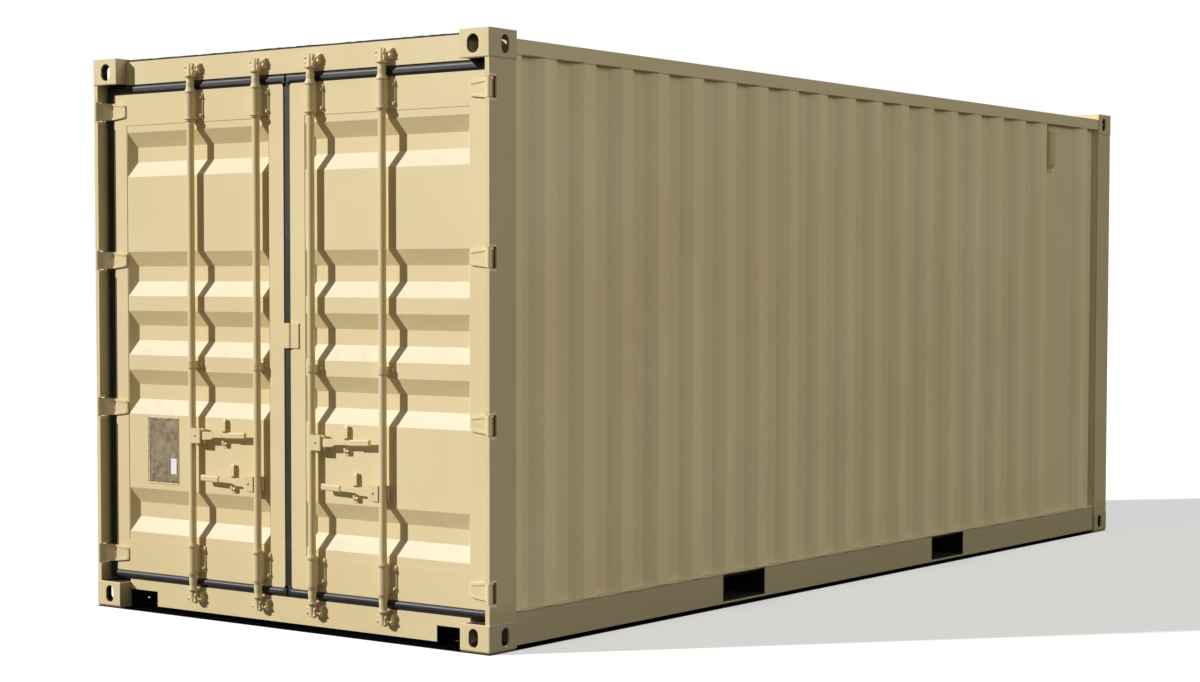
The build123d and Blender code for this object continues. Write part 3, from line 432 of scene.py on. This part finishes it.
def addBlock(shape, low, high):
    size = Vector(high) - Vector(low)
    centre = (Vector(high) + Vector(low)) / 2
    bmesh.ops.create_cube(shape, size=1.0, matrix=Matrix.Translation(centre) @ Matrix.Diagonal((*size, 1)))


def spaced(path, step):
    # points at even steps along a line of corners
    points = [Vector(path[0])]
    for start, end in zip(path, path[1:]):
        start, end = Vector(start), Vector(end)
        count = max(1, round((end - start).length / step))
        points += [start.lerp(end, i / count) for i in range(1, count + 1)]
    return points


beadLook = {"sides": 6, "ripple": 0.16, "uneven": 0.12, "aslant": (0.31, 0.44, 0.84)}


def addBead(shape, path, radius, draw, step, ripple=beadLook["ripple"]):
    # a laid bead: six sided, rippled, never quite even
    points = spaced(path, step)
    sides = beadLook["sides"]
    angles = [math.tau * turn / sides for turn in range(sides)]
    rings = []
    for index, point in enumerate(points):
        ahead = points[min(index + 1, len(points) - 1)] - points[max(index - 1, 0)]
        side = ahead.cross(Vector(beadLook["aslant"])).normalized()
        top = side.cross(ahead).normalized()
        uneven = draw.uniform(-beadLook["uneven"], beadLook["uneven"])
        size = radius * (1 + (ripple if index % 2 else -ripple) + uneven)
        ring = [shape.verts.new(point + side * size * math.cos(angle) + top * size * math.sin(angle))
                for angle in angles]
        rings.append(ring)
    for first, second in zip(rings, rings[1:]):
        for turn in range(sides):
            after = (turn + 1) % sides
            shape.faces.new((first[turn], first[after], second[after], second[turn]))
    shape.faces.new(rings[0][::-1])
    shape.faces.new(rings[-1])


studTaper = 0.9


def addStud(shape, centre, direction, layers):
    # stack of discs standing on a face, each layer a radius, a height and its number of sides
    turn = Vector(direction).to_track_quat("Z", "Y").to_matrix().to_4x4()
    place = Matrix.Translation(centre) @ turn
    for radius, tall, sides in layers:
        raised = place @ Matrix.Translation((0, 0, tall / 2))
        bmesh.ops.create_cone(shape, cap_ends=True, segments=sides, radius1=radius,
                              radius2=radius * studTaper, depth=tall, matrix=raised)


bracketBolts = {"outerX": 0.592, "innerX": 0.169, "sideStep": 0.0435, "endStep": 0.020, "plate": 0.006,
                "bracketTall": 0.122, "guideStep": 0.033, "guideZ": 1.165,
                "leftRows": (2, 4), "rightRows": 2,  # outer rod, inner rod
                "layers": ((0.0125, 0.0022, 14), (0.0090, 0.0085, 6))}


def boltBrackets(side, sideName):
    # bolt heads on the feet of the rod bearings and guides
    look = bracketBolts
    shape = bmesh.new()
    low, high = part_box("rod_brackets_" + sideName)
    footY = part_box("door_frame_" + sideName)[0].y - look["plate"]
    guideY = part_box("door_panel_" + sideName)[0].y - look["plate"]
    ends = ((low.z, low.z + look["bracketTall"]), (high.z - look["bracketTall"], high.z))
    for place, leftRows in zip((look["outerX"], look["innerX"]), look["leftRows"]):
        x = side * place
        for bottom, top in ends:
            bottom, top = bottom + look["endStep"], top - look["endStep"]
            for way, rows in ((-1, leftRows), (1, look["rightRows"])):
                for row in range(rows):
                    z = bottom + (top - bottom) * row / (rows - 1)
                    addStud(shape, (x + way * look["sideStep"], footY, z), (0, -1, 0), look["layers"])
        for way in (-1, 1):
            centre = (x + way * look["guideStep"], guideY, look["guideZ"])
            addStud(shape, centre, (0, -1, 0), look["layers"])
    keepPiece("bracketBolts" + sideName.title(), shape, "fittingPaint", "door_" + sideName)


for side, sideName in ((-1, "left"), (1, "right")):
    boltBrackets(side, sideName)
print("bracket bolts placed")

labelLook = {"lowX": -0.771, "highX": -0.733, "lowZ": 0.647, "highZ": 0.720, "thick": 0.0006}
paintRim = {"radius": 0.0022, "step": 0.010, "seed": 11}


def addPlateDetails():
    # a blank patch on the plate and the ridge of old paint round its edge
    low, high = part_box("marking_plate")
    y = low.y
    shape = bmesh.new()
    addBlock(shape, (labelLook["lowX"], y - labelLook["thick"], labelLook["lowZ"]),
             (labelLook["highX"], y, labelLook["highZ"]))
    keepPiece("blankLabel", shape, "paleLabel", "door_left")
    shape = bmesh.new()
    corners = [(low.x, low.z), (high.x, low.z), (high.x, high.z), (low.x, high.z), (low.x, low.z)]
    addBead(shape, [(x, y, z) for x, z in corners], paintRim["radius"], random.Random(paintRim["seed"]),
            paintRim["step"])
    keepPiece("plateRim", shape, "doorPaint", "door_left")


addPlateDetails()

headerLook = {"forward": 0.029, "edge": 0.004, "keeperFront": -2.993, "keeperBack": -2.934, "keeperLow": 1.0}
headerLineLook = {"radius": 0.0085, "inset": 0.009, "lift": 0.001, "endGap": 0.004, "step": 0.03,
               "ripple": 0.03, "seed": 5}


def reshape(nodeName, name, move, finish, body="box"):
    # a node's form with its points moved, in place of the node
    shape = bmesh.new()
    shape.from_mesh(nodes[nodeName].data)
    for vertex in shape.verts:
        vertex.co = move(vertex.co)
    piece = keepPiece(name, shape, finish, body)
    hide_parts(nodeName)


def headerPoint(point):
    # the face of the header stands further forward
    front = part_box("door_header")[0].y
    if point.y < front + headerLook["edge"]:
        return Vector((point.x, point.y - headerLook["forward"], point.z))
    return point


def keeperPoint(point):
    # behind their jaws the upper keepers get shallower, to end at the header's forward face
    front, back = headerLook["keeperFront"], headerLook["keeperBack"]
    if point.z < headerLook["keeperLow"] or point.y < front:
        return point
    share = (back - headerLook["forward"] - front) / (back - front)
    return Vector((point.x, front + (point.y - front) * share, point.z))


def addHeaderDarkLine():
    # a dark bead along the top edge of the header
    look = headerLineLook
    low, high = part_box("door_header")
    shape = bmesh.new()
    y, z = low.y - headerLook["forward"] + look["inset"], high.z + look["lift"]
    line = [(low.x + look["endGap"], y, z), (high.x - look["endGap"], y, z)]
    addBead(shape, line, look["radius"], random.Random(look["seed"]), look["step"], look["ripple"])
    keepPiece("headerDarkLine", shape, "darkLineAndPinShade", "box")


reshape("door_header", "headerBeam", headerPoint, "boxPaint")
reshape("cam_keepers", "camKeepers", keeperPoint, "fittingPaint")
addHeaderDarkLine()
print("plate details, header and dark line placed")

lineLook = {"levelNear": 0.0005, "cornerNear": 0.0026, "behind": 0.0008}


def outerLine(nodeName, axis, way, level):
    # the outer corners of a folded sheet at one level, in order along its length
    along = 1 - axis
    points = [vertex.co for vertex in nodes[nodeName].data.vertices
              if abs(vertex.co.z - level) < lineLook["levelNear"]]
    kept = []
    for point in points:
        hidden = any(abs(other[along] - point[along]) < lineLook["cornerNear"]
                     and way * (other[axis] - point[axis]) > lineLook["behind"] for other in points)
        if not hidden:
            kept.append(tuple(point))
    return sorted(set(kept), key=lambda point: point[along])


catchLook = {"seat": -2.961, "aside": -0.022, "narrow": 0.62, "shallow": 0.72, "rise": 1.25, "hang": 1.3,
             "barHalf": 0.018, "baseDeep": 0.0055, "baseFrom": 0.016, "haspEdge": 0.015, "near": 0.0005,
             "finEnd": 0.001, "finFoot": 0.0155, "finTip": 0.03, "finSlope": 0.018, "finTilt": 0.012}
catchPlaces = {"left": ((-0.378, 0.849), (-0.324, 0.645)), "right": ((0.383, 0.849), (0.437, 0.645))}
hubLook = {"places": (-0.592, -0.169, 0.169, 0.592), "levels": (0.838, 0.634), "tall": 0.05,
           "middle": -2.994, "plateStart": 0.012, "plateLeft": 0.05, "pinReach": 0.040,
           "pinFront": -3.0164, "pinDimpleShade": ((0.0042, 0.0006, 12),)}


def catchPoint(point, middle, bar):
    # all of a catch gets narrower and shallower and moves aside, its hasp and hook get taller,
    # and the fin slopes back
    look = catchLook
    across, rise = point.x - middle, point.z - bar
    isBase = point.y > look["seat"] - look["baseDeep"] and abs(across) > look["baseFrom"]
    edge = math.copysign(look["barHalf"], rise)
    tall = look["rise"] if rise > 0 else look["hang"]
    level = point.z if isBase or abs(rise) < look["barHalf"] else bar + edge + (rise - edge) * tall
    onHasp = abs(across + look["haspEdge"]) <= look["near"]
    isFin = across < look["finEnd"] and rise > look["finFoot"] and not onHasp and not isBase
    slope = look["finSlope"] if isFin and across < -look["finTip"] and rise > look["finTip"] else 0.0
    tilt = look["finTilt"] if isFin and rise < look["finTip"] else 0.0
    return Vector((middle + across * look["narrow"] + look["aside"] + slope,
                   look["seat"] + (point.y - look["seat"]) * look["shallow"] - tilt, level))


def hubPoint(point, middle, way, level):
    # the front cheek of a handle hub is cut back to stand beside the rod
    look = hubLook
    along = (point.x - middle) * way
    start = look["plateStart"]
    if abs(point.z - level) > look["tall"] or point.y > look["middle"] or along > start:
        return point
    return Vector((middle + way * (start + (along - start) * look["plateLeft"]), point.y, point.z))


def reshapeFittings():
    for sideName, places in catchPlaces.items():
        reshape("handle_catches_" + sideName, "handleCatches" + sideName.title(),
                lambda point: catchPoint(point, *min(places, key=lambda place: abs(place[1] - point.z))),
                "fittingPaint", "door_" + sideName)
    for index, middle in enumerate(hubLook["places"]):
        way, level = 1 - index % 2 * 2, hubLook["levels"][index % 2]
        reshape(f"rod_fittings_{index + 1}", f"rodFittings{index + 1}",
                lambda point: hubPoint(point, middle, way, level),
                "fittingPaint", f"rod_{index + 1}")
        # painted shade: a dark disc on each hub's front face stands for the shade in the pin's dimple
        shape = bmesh.new()
        centre = (middle + way * hubLook["pinReach"], hubLook["pinFront"], level)
        addStud(shape, centre, (0, -1, 0), hubLook["pinDimpleShade"])
        keepPiece(f"pinDimpleShade{index + 1}", shape, "darkLineAndPinShade", f"rod_{index + 1}")


reshapeFittings()
print("handle catches and hubs reshaped")

weldLook = {"wallRadius": 0.0035, "wallStep": 0.014, "wallLift": 0.002, "wallSeed": 21,
            "jointRadius": 0.0026, "jointStep": 0.011, "jointSeed": 33,
            "faceX": 1.2155, "faceY": 3.0255, "castingTop": 0.1185, "castingUnder": 2.4725,
            "castingInnerX": 1.057, "castingInnerY": 2.851, "railX": 1.2075, "headerLow": 2.472,
            "headerHigh": 2.574, "sillLow": 0.088, "railLow": 0.020, "railHigh": 0.112}


def weldSheet(shape, draw, nodeName, axis, way, level, lift):
    # a bead along the foot or the head of a folded sheet
    line = [(x, y, z + lift) for x, y, z in outerLine(nodeName, axis, way, level)]
    addBead(shape, line, weldLook["wallRadius"], draw, weldLook["wallStep"])


def weldWalls():
    shape = bmesh.new()
    draw = random.Random(weldLook["wallSeed"])
    lift = weldLook["wallLift"]
    for sideName, way in (("left", -1), ("right", 1)):
        low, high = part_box("side_wall_" + sideName)
        weldSheet(shape, draw, "side_wall_" + sideName, 0, way, low.z, lift)
        weldSheet(shape, draw, "side_wall_" + sideName, 0, way, high.z, -lift)
    weldSheet(shape, draw, "front_wall", 1, 1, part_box("front_wall")[0].z, lift)
    keepPiece("wallWelds", shape, "boxPaint", "box")


def weldCorners():
    look = weldLook
    lines = []
    for sx in (-1, 1):
        innerX = sx * look["castingInnerX"]
        for sy in (-1, 1):
            x, y, innerY = sx * look["faceX"], sy * look["faceY"], sy * look["castingInnerY"]
            for z in (look["castingTop"], look["castingUnder"]):
                lines.append([(innerX, y, z), (x, y, z), (x, innerY, z)])
            railX = sx * look["railX"]
            lines.append([(railX, innerY, look["railLow"]), (railX, innerY, look["railHigh"])])
        for low, high in ((look["headerLow"], look["headerHigh"]), (look["sillLow"], look["castingTop"])):
            lines.append([(innerX, -look["faceY"], low), (innerX, -look["faceY"], high)])
    shape = bmesh.new()
    draw = random.Random(look["jointSeed"])
    for line in lines:
        addBead(shape, line, look["jointRadius"], draw, look["jointStep"])
    keepPiece("cornerWelds", shape, "boxPaint", "box")


weldWalls()
weldCorners()
print("welds laid")

ventLook = {"tabTall": 0.026, "tabThick": 0.003, "tabInset": 0.006, "tabSeat": 0.0016, "upperShare": 0.7,
            "screwPlace": 0.6, "screwLayers": ((0.004, 0.002, 10),)}


def addVentTabs():
    # flanges above and below each vent hood, each held by two rivets
    look = ventLook
    low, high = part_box("side_vents")
    middle, half = (low.y + high.y) / 2, (high.y - low.y) / 2 - look["tabInset"]
    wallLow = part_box("side_wall_right")[0]
    levels = ((low.z - look["tabTall"], low.z), (high.z, high.z + look["tabTall"] * look["upperShare"]))
    shape = bmesh.new()
    for way in (-1, 1):
        rootX = way * (wallLow.x + look["tabSeat"])
        faceX = rootX + way * look["tabThick"]
        for bottom, top in levels:
            first, second = sorted((rootX, faceX))
            addBlock(shape, (first, middle - half, bottom), (second, middle + half, top))
            for step in (-1, 1):
                centre = (faceX, middle + step * half * look["screwPlace"], (bottom + top) / 2)
                addStud(shape, centre, (way, 0, 0), look["screwLayers"])
    keepPiece("ventTabs", shape, "boxPaint", "box")


addVentTabs()

screwLook = {"layers": ((0.0055, 0.0006, 10),), "lines": 19, "boards": 5, "perBoard": 4, "endGap": 0.08,
             "wanderX": 0.004, "wanderY": 0.006, "seed": 8}


def addFloorScrews():
    look = screwLook
    low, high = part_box("floor_boards")
    shape = bmesh.new()
    draw = random.Random(look["seed"])
    across = look["boards"] * look["perBoard"]
    for line in range(look["lines"]):
        y = low.y + look["endGap"] + (high.y - low.y - 2 * look["endGap"]) * line / (look["lines"] - 1)
        for step in range(across):
            x = low.x + (high.x - low.x) * (step + 0.5) / across
            aside, along = [draw.uniform(-look[key], look[key]) for key in ("wanderX", "wanderY")]
            addStud(shape, (x + aside, y + along, high.z), (0, 0, 1), look["layers"])
    keepPiece("floorScrews", shape, "screwSteel", "box")


addFloorScrews()
print("vent tabs and floor screws placed")

flareLook = {"lowX": -0.0118, "highX": 0.0125, "front": 0.0015, "back": 0.0030, "reach": 0.0110,
             "sink": 0.001}


def addSealFlares():
    # soft ends of the upright strip between the leaves, where it meets the seals above and below
    look = flareLook
    frameLow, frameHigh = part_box("door_frame_right")
    front, back = frameLow.y - look["front"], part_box("door_seal_right")[1].y - look["back"]
    shape = bmesh.new()
    for bottom, top in ((frameHigh.z - look["reach"] - look["sink"], frameHigh.z),
                        (frameLow.z, frameLow.z + look["reach"] + look["sink"])):
        addBlock(shape, (look["lowX"], front, bottom), (look["highX"], back, top))
    keepPiece("sealFlares", shape, "sealRubber", "door_right")


addSealFlares()
print("seal flares placed")

stageLook = {"floorSize": 60.0, "floorDrop": 0.002, "floorSeen": (0.92, 0.92, 0.92, 1),
             "floorBounce": (0.14, 0.14, 0.14, 1), "glowColour": (1, 1, 1, 1), "floorGlow": 0.40,
             "contactWide": 1.222, "contactLong": 3.034, "contactSoft": 0.006,
             "paintedContactShadow": (0.004, 0.004, 0.004, 1), "sunFrom": (-0.865, -1.0, 0.65),
             "sunPower": 3.6, "sunSpread": 1.6, "skyPower": 0.20, "skyColour": (0.97, 1.0, 0.98, 1),
             "skySeen": (1, 1, 1, 1), "fillFrom": (0.88, 0.32, 0.3), "fillPower": 0.88, "fillSpread": 30.0}


def floorFinish():
    # pale floor, with a painted black contact shadow where the box keeps all light from it
    look = stageLook
    ground = Finish("stageFloor")
    seen = ground.add("ShaderNodeLightPath", output="Is Camera Ray")
    bounce = ground.add("ShaderNodeBsdfDiffuse", {}, {"Color": look["floorBounce"]})
    pale = ground.add("ShaderNodeBsdfDiffuse", {}, {"Color": look["floorSeen"]})
    glow = ground.add("ShaderNodeEmission", {}, {"Color": look["glowColour"], "Strength": look["floorGlow"]})
    dark = ground.add("ShaderNodeBsdfDiffuse", {}, {"Color": look["paintedContactShadow"]})
    shown = ground.add("ShaderNodeAddShader", {}, {0: pale, 1: glow})
    soft = look["contactSoft"]
    under = 1.0 - ground.ramp(ground.x.size(), look["contactWide"] - soft, look["contactWide"] + soft)
    beyond = ground.ramp(ground.y.size(), look["contactLong"] - soft, look["contactLong"] + soft)
    under = under * (1.0 - beyond)
    shown = ground.add("ShaderNodeMixShader", {}, {0: under, 1: shown, 2: dark})
    total = ground.add("ShaderNodeMixShader", {}, {0: seen, 1: bounce, 2: shown})
    return ground.close(total)


def buildStage():
    look = stageLook
    shape = bmesh.new()
    bmesh.ops.create_grid(shape, x_segments=1, y_segments=1, size=look["floorSize"])
    mesh = bpy.data.meshes.new("floor")
    shape.to_mesh(mesh)
    shape.free()
    floor = bpy.data.objects.new("floor", mesh)
    floor.location.z = -look["floorDrop"]
    bpy.context.scene.collection.objects.link(floor)
    mesh.materials.append(floorFinish())
    for name, source, power, spread in (("sun", "sunFrom", "sunPower", "sunSpread"),
                                        ("sideFill", "fillFrom", "fillPower", "fillSpread")):
        lamp = bpy.data.lights.new(name, "SUN")
        lamp.energy = look[power]
        lamp.angle = math.radians(look[spread])
        holder = bpy.data.objects.new(name, lamp)
        holder.rotation_mode = "QUATERNION"
        holder.rotation_quaternion = (-Vector(look[source])).to_track_quat("-Z", "Y")
        bpy.context.scene.collection.objects.link(holder)


def buildSky():
    # pale light on the box, plain white where the camera sees the sky
    look = stageLook
    world = bpy.data.worlds.new("paleWorld")
    bpy.context.scene.world = world
    sky = NodeWork(world)
    fromCamera = sky.add("ShaderNodeLightPath", output="Is Camera Ray")
    direct = fromCamera.highest(sky.add("ShaderNodeLightPath", output="Is Transmission Ray"))
    light = sky.add("ShaderNodeBackground", {}, {"Color": look["skyColour"], "Strength": look["skyPower"]})
    shown = sky.add("ShaderNodeBackground", {}, {"Color": look["skySeen"]})
    blend = sky.add("ShaderNodeMixShader", {}, {0: direct, 1: light, 2: shown})
    sky.add("ShaderNodeOutputWorld", {}, {"Surface": blend})
    bpy.context.scene.view_settings.view_transform = "Standard"


cameraLook = {"place": (7.1997, -10.2243, 1.5405), "azimuth": 36.47, "elevation": 2.60, "roll": 0.11,
              "lens": 68.03, "sensor": 36.0, "shift": (-0.0157, 0.038), "clipEnd": 200}


def buildCamera():
    camera = bpy.data.cameras.new("photoCamera")
    camera.lens = cameraLook["lens"]
    camera.sensor_width = cameraLook["sensor"]
    camera.sensor_fit = "HORIZONTAL"
    camera.shift_x, camera.shift_y = cameraLook["shift"]
    camera.clip_end = cameraLook["clipEnd"]
    holder = bpy.data.objects.new("photoCamera", camera)
    around, above = math.radians(cameraLook["azimuth"]), math.radians(cameraLook["elevation"])
    level = math.cos(above)
    back = Vector((math.sin(around) * level, -math.cos(around) * level, math.sin(above)))
    right = Vector((math.cos(around), math.sin(around), 0))
    up = back.cross(right)
    turn = Matrix((right, up, back)).transposed().to_4x4()
    roll = Matrix.Rotation(math.radians(cameraLook["roll"]), 4, back)
    holder.matrix_world = Matrix.Translation(cameraLook["place"]) @ roll @ turn
    bpy.context.scene.collection.objects.link(holder)
    bpy.context.scene.camera = holder


buildStage()
buildSky()
buildCamera()
print("stage and camera ready")
